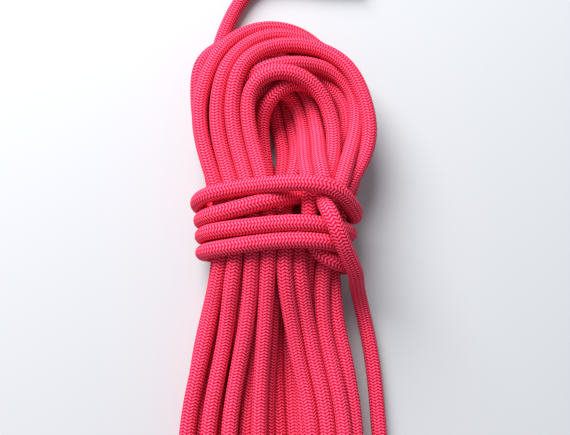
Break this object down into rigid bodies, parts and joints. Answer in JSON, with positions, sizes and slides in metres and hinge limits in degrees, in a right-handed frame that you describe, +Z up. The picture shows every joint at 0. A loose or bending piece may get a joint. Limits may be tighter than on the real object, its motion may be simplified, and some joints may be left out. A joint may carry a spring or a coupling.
{
  "type": "dynamic climbing rope",
  "caption": "Dynamic kernmantle climbing rope put away as a hank, with an eye of bights, a bound waist and two sleeved ends.",
  "frame": {"origin": "centre of the bounding box, on the floor that the hank lies on", "axes": "+Z up, +Y along the hank from its lower bights to its eye, +X to the side on which the tail lies"},
  "size_m": [0.1331, 0.6145, 0.0758],
  "materials": {
    "rope_sheath": "braided nylon with a slight sheen",
    "rope_core": "twisted nylon strands",
    "end_sleeve": "heat-shrunk sleeve, satin",
    "fused_tip": "melted nylon"
  },
  "bodies": {
    "root": {"hank_loops": "rope_sheath", "binding_wraps": "rope_sheath", "crossing_strand": "rope_sheath", "upper_strand": "rope_sheath", "tail_strand": "rope_sheath", "upper_sheath_end": "rope_sheath", "upper_end_sleeve": "end_sleeve", "upper_fused_tip": "fused_tip", "tail_sheath_end": "rope_sheath", "tail_end_sleeve": "end_sleeve", "tail_fused_tip": "fused_tip", "upper_core_strand_1": "rope_core", "upper_core_strand_2": "rope_core", "upper_core_strand_3": "rope_core", "upper_core_strand_4": "rope_core", "upper_core_strand_5": "rope_core", "upper_core_strand_6": "rope_core", "upper_core_strand_7": "rope_core", "upper_core_strand_8": "rope_core", "upper_core_strand_9": "rope_core", "upper_core_strand_10": "rope_core", "upper_core_strand_11": "rope_core", "upper_core_strand_12": "rope_core", "tail_core_strand_1": "rope_core", "tail_core_strand_2": "rope_core", "tail_core_strand_3": "rope_core", "tail_core_strand_4": "rope_core", "tail_core_strand_5": "rope_core", "tail_core_strand_6": "rope_core", "tail_core_strand_7": "rope_core", "tail_core_strand_8": "rope_core", "tail_core_strand_9": "rope_core", "tail_core_strand_10": "rope_core", "tail_core_strand_11": "rope_core", "tail_core_strand_12": "rope_core"}
  },
  "joints": []
}
